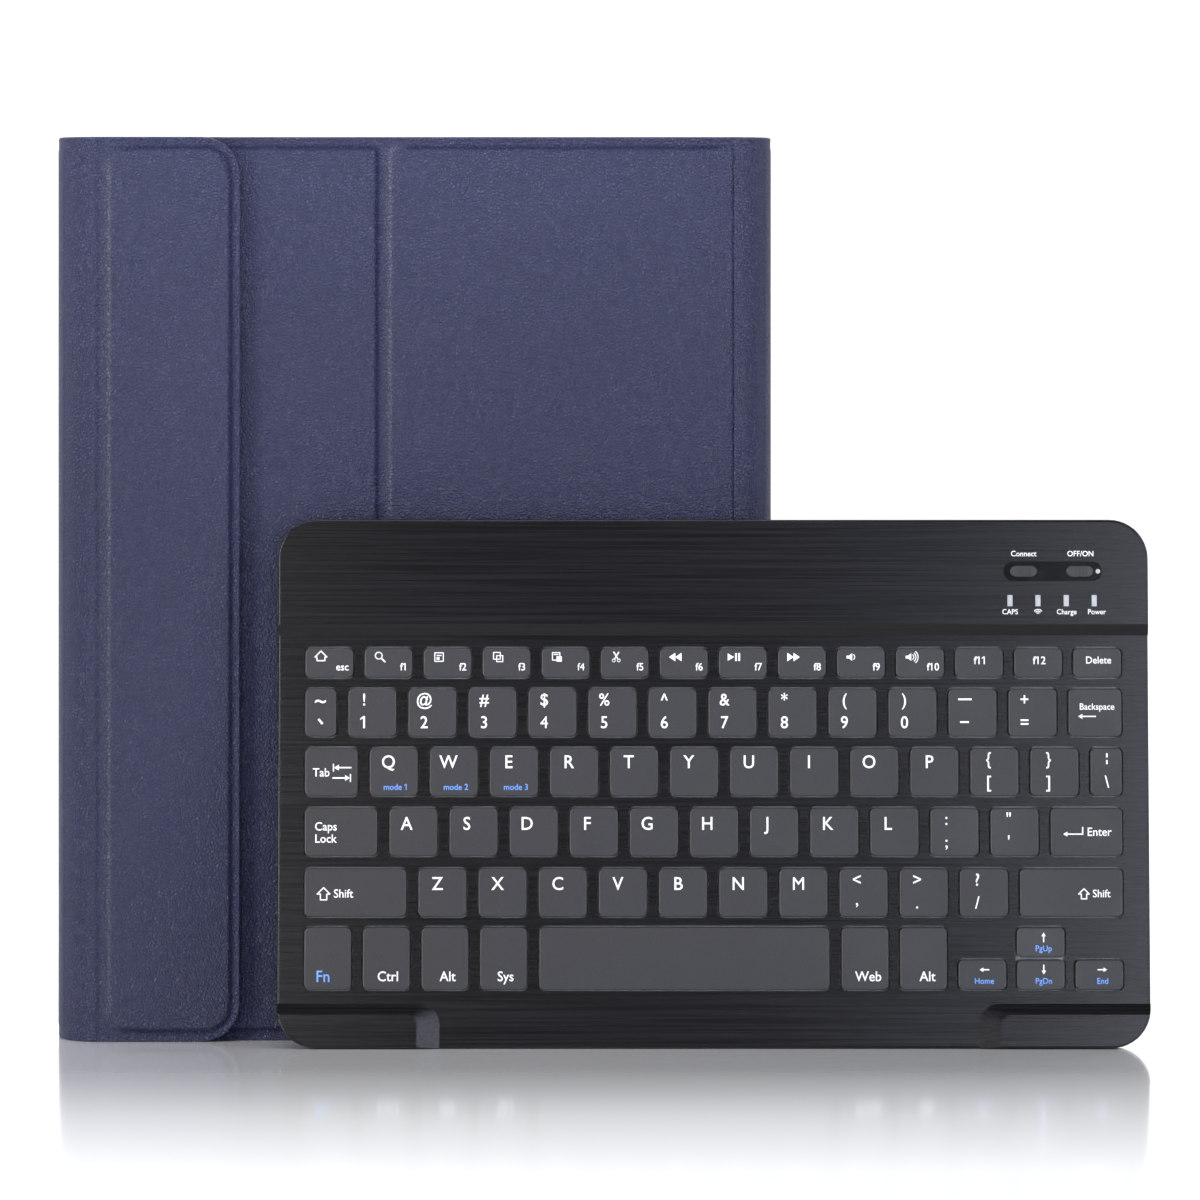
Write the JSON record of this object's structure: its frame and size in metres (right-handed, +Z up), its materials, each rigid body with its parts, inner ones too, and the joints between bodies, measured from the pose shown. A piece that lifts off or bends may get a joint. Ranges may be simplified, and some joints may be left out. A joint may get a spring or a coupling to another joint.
{
  "type": "tablet keyboard case",
  "caption": "Leather folio for a tablet with a wrap-over magnetic flap, and a separate slim wireless keyboard.",
  "frame": {"origin": "middle of the foot of the folio and keyboard together, on the surface they stand on", "axes": "+Z up, +X to the right as the keys are read, -Y towards the reader; the folio stands on its short edge and the keyboard leans 4 degrees back against its front"},
  "size_m": [0.31, 0.0382, 0.257],
  "materials": {
    "navy_leather": "fine grained, satin",
    "stiffener_board": "dense greyboard, matte",
    "microfibre_lining": "short napped microfibre",
    "tray_moulding": "satin moulded polyurethane",
    "adhesive_sheet": "translucent white film",
    "plated_steel": "plated sheet",
    "magnet_metal": "nickel plated",
    "brushed_shell": "black with fine brushed lines",
    "back_shell": "fine spark texture",
    "membrane_film": "clear printed film",
    "dome_rubber": "milky silicone",
    "circuit_laminate": "green solder mask",
    "battery_pouch": "foil pouch",
    "switch_body": "moulded",
    "slot_gloss": "glossy black",
    "clear_windows": "milky light pipe",
    "black_screws": "black oxide",
    "foot_rubber": "matte",
    "knob_plastic": "satin",
    "keycap_plastic": "fine matte texture"
  },
  "bodies": {
    "tablet_cover": {"tablet_cover_skin": "navy_leather", "tablet_board_upper": "stiffener_board", "tablet_board_lower": "stiffener_board", "tablet_cover_lining": "microfibre_lining", "tray_adhesive": "adhesive_sheet", "tablet_tray": "tray_moulding", "flap_catch_plates": "plated_steel"},
    "spine": {"spine_skin": "navy_leather", "spine_board": "stiffener_board"},
    "keyboard_cover": {"keyboard_cover_skin": "navy_leather", "keyboard_cover_board": "stiffener_board", "keyboard_cover_lining": "microfibre_lining", "keyboard_cover_magnets": "magnet_metal"},
    "flap_spine": {"flap_spine_skin": "navy_leather", "flap_spine_board": "stiffener_board"},
    "flap": {"flap_skin": "navy_leather", "flap_board": "stiffener_board", "flap_lining": "microfibre_lining", "flap_magnets": "magnet_metal"},
    "keyboard": {"top_case": "brushed_shell", "bottom_case": "back_shell", "back_plate": "plated_steel", "membrane_sheet": "membrane_film", "rubber_domes": "dome_rubber", "circuit_board": "circuit_laminate", "battery": "battery_pouch", "charging_port": "plated_steel", "switch_modules": "switch_body", "switch_bezel": "slot_gloss", "led_windows": "clear_windows", "case_screws": "black_screws", "rubber_feet": "foot_rubber"},
    "connect_knob": {"connect_knob": "knob_plastic"},
    "power_knob": {"power_knob": "knob_plastic"},
    "escape_key": {"escape_key": "keycap_plastic"},
    "function_row_keys": {"function_row_keys": "keycap_plastic"},
    "delete_key": {"delete_key": "keycap_plastic"},
    "grave_key": {"grave_key": "keycap_plastic"},
    "number_row_keys": {"number_row_keys": "keycap_plastic"},
    "backspace_key": {"backspace_key": "keycap_plastic"},
    "tab_key": {"tab_key": "keycap_plastic"},
    "upper_letter_keys": {"upper_letter_keys": "keycap_plastic"},
    "backslash_key": {"backslash_key": "keycap_plastic"},
    "caps_lock_key": {"caps_lock_key": "keycap_plastic"},
    "home_letter_keys": {"home_letter_keys": "keycap_plastic"},
    "enter_key": {"enter_key": "keycap_plastic"},
    "left_shift_key": {"left_shift_key": "keycap_plastic"},
    "lower_letter_keys": {"lower_letter_keys": "keycap_plastic"},
    "right_shift_key": {"right_shift_key": "keycap_plastic"},
    "fn_key": {"fn_key": "keycap_plastic"},
    "control_key": {"control_key": "keycap_plastic"},
    "left_alt_key": {"left_alt_key": "keycap_plastic"},
    "system_key": {"system_key": "keycap_plastic"},
    "space_bar": {"space_bar": "keycap_plastic"},
    "browser_key": {"browser_key": "keycap_plastic"},
    "right_alt_key": {"right_alt_key": "keycap_plastic"},
    "left_arrow_key": {"left_arrow_key": "keycap_plastic"},
    "up_arrow_key": {"up_arrow_key": "keycap_plastic"},
    "down_arrow_key": {"down_arrow_key": "keycap_plastic"},
    "right_arrow_key": {"right_arrow_key": "keycap_plastic"}
  },
  "joints": [
    {"name": "cover_hinge_front", "type": "hinge", "parent": "tablet_cover", "child": "spine", "pos_m": [0.04578, 0.00037, 0.1285], "axis": [0, 0, -1], "range_deg": [0, 90]},
    {"name": "cover_hinge_rear", "type": "hinge", "parent": "spine", "child": "keyboard_cover", "pos_m": [0.04578, 0.01593, 0.1285], "axis": [0, 0, -1], "range_deg": [0, 90]},
    {"name": "flap_hinge_rear", "type": "hinge", "parent": "keyboard_cover", "child": "flap_spine", "pos_m": [-0.15137, 0.01552, 0.1285], "axis": [0, 0, -1], "range_deg": [0, 90]},
    {"name": "flap_hinge_front", "type": "hinge", "parent": "flap_spine", "child": "flap", "pos_m": [-0.15137, -0.00202, 0.1285], "axis": [0, 0, -1], "range_deg": [0, 135]},
    {"name": "detach_keyboard", "type": "slide", "parent": "tablet_cover", "child": "keyboard", "axis": [0, -1, 0], "range_m": [0, 0.25]},
    {"name": "connect_knob_slide", "type": "slide", "parent": "keyboard", "child": "connect_knob", "axis": [1, 0, 0], "range_m": [0, 0.002], "stiffness_N_per_m": 150},
    {"name": "power_switch_slide", "type": "slide", "parent": "keyboard", "child": "power_knob", "axis": [1, 0, 0], "range_m": [0, 0.002]},
    {"name": "press_escape_key", "type": "slide", "parent": "keyboard", "child": "escape_key", "axis": [0, 0.9976, -0.0698], "range_m": [0, 0.0015], "stiffness_N_per_m": 400},
    {"name": "press_function_row_keys", "type": "slide", "parent": "keyboard", "child": "function_row_keys", "axis": [0, 0.9976, -0.0698], "range_m": [0, 0.0015], "stiffness_N_per_m": 400},
    {"name": "press_delete_key", "type": "slide", "parent": "keyboard", "child": "delete_key", "axis": [0, 0.9976, -0.0698], "range_m": [0, 0.0015], "stiffness_N_per_m": 400},
    {"name": "press_grave_key", "type": "slide", "parent": "keyboard", "child": "grave_key", "axis": [0, 0.9976, -0.0698], "range_m": [0, 0.0015], "stiffness_N_per_m": 400},
    {"name": "press_number_row_keys", "type": "slide", "parent": "keyboard", "child": "number_row_keys", "axis": [0, 0.9976, -0.0698], "range_m": [0, 0.0015], "stiffness_N_per_m": 400},
    {"name": "press_backspace_key", "type": "slide", "parent": "keyboard", "child": "backspace_key", "axis": [0, 0.9976, -0.0698], "range_m": [0, 0.0015], "stiffness_N_per_m": 400},
    {"name": "press_tab_key", "type": "slide", "parent": "keyboard", "child": "tab_key", "axis": [0, 0.9976, -0.0698], "range_m": [0, 0.0015], "stiffness_N_per_m": 400},
    {"name": "press_upper_letter_keys", "type": "slide", "parent": "keyboard", "child": "upper_letter_keys", "axis": [0, 0.9976, -0.0698], "range_m": [0, 0.0015], "stiffness_N_per_m": 400},
    {"name": "press_backslash_key", "type": "slide", "parent": "keyboard", "child": "backslash_key", "axis": [0, 0.9976, -0.0698], "range_m": [0, 0.0015], "stiffness_N_per_m": 400},
    {"name": "press_caps_lock_key", "type": "slide", "parent": "keyboard", "child": "caps_lock_key", "axis": [0, 0.9976, -0.0698], "range_m": [0, 0.0015], "stiffness_N_per_m": 400},
    {"name": "press_home_letter_keys", "type": "slide", "parent": "keyboard", "child": "home_letter_keys", "axis": [0, 0.9976, -0.0698], "range_m": [0, 0.0015], "stiffness_N_per_m": 400},
    {"name": "press_enter_key", "type": "slide", "parent": "keyboard", "child": "enter_key", "axis": [0, 0.9976, -0.0698], "range_m": [0, 0.0015], "stiffness_N_per_m": 400},
    {"name": "press_left_shift_key", "type": "slide", "parent": "keyboard", "child": "left_shift_key", "axis": [0, 0.9976, -0.0698], "range_m": [0, 0.0015], "stiffness_N_per_m": 400},
    {"name": "press_lower_letter_keys", "type": "slide", "parent": "keyboard", "child": "lower_letter_keys", "axis": [0, 0.9976, -0.0698], "range_m": [0, 0.0015], "stiffness_N_per_m": 400},
    {"name": "press_right_shift_key", "type": "slide", "parent": "keyboard", "child": "right_shift_key", "axis": [0, 0.9976, -0.0698], "range_m": [0, 0.0015], "stiffness_N_per_m": 400},
    {"name": "press_fn_key", "type": "slide", "parent": "keyboard", "child": "fn_key", "axis": [0, 0.9976, -0.0698], "range_m": [0, 0.0015], "stiffness_N_per_m": 400},
    {"name": "press_control_key", "type": "slide", "parent": "keyboard", "child": "control_key", "axis": [0, 0.9976, -0.0698], "range_m": [0, 0.0015], "stiffness_N_per_m": 400},
    {"name": "press_left_alt_key", "type": "slide", "parent": "keyboard", "child": "left_alt_key", "axis": [0, 0.9976, -0.0698], "range_m": [0, 0.0015], "stiffness_N_per_m": 400},
    {"name": "press_system_key", "type": "slide", "parent": "keyboard", "child": "system_key", "axis": [0, 0.9976, -0.0698], "range_m": [0, 0.0015], "stiffness_N_per_m": 400},
    {"name": "press_space_bar", "type": "slide", "parent": "keyboard", "child": "space_bar", "axis": [0, 0.9976, -0.0698], "range_m": [0, 0.0015], "stiffness_N_per_m": 400},
    {"name": "press_browser_key", "type": "slide", "parent": "keyboard", "child": "browser_key", "axis": [0, 0.9976, -0.0698], "range_m": [0, 0.0015], "stiffness_N_per_m": 400},
    {"name": "press_right_alt_key", "type": "slide", "parent": "keyboard", "child": "right_alt_key", "axis": [0, 0.9976, -0.0698], "range_m": [0, 0.0015], "stiffness_N_per_m": 400},
    {"name": "press_left_arrow_key", "type": "slide", "parent": "keyboard", "child": "left_arrow_key", "axis": [0, 0.9976, -0.0698], "range_m": [0, 0.0015], "stiffness_N_per_m": 400},
    {"name": "press_up_arrow_key", "type": "slide", "parent": "keyboard", "child": "up_arrow_key", "axis": [0, 0.9976, -0.0698], "range_m": [0, 0.0015], "stiffness_N_per_m": 400},
    {"name": "press_down_arrow_key", "type": "slide", "parent": "keyboard", "child": "down_arrow_key", "axis": [0, 0.9976, -0.0698], "range_m": [0, 0.0015], "stiffness_N_per_m": 400},
    {"name": "press_right_arrow_key", "type": "slide", "parent": "keyboard", "child": "right_arrow_key", "axis": [0, 0.9976, -0.0698], "range_m": [0, 0.0015], "stiffness_N_per_m": 400}
  ]
}
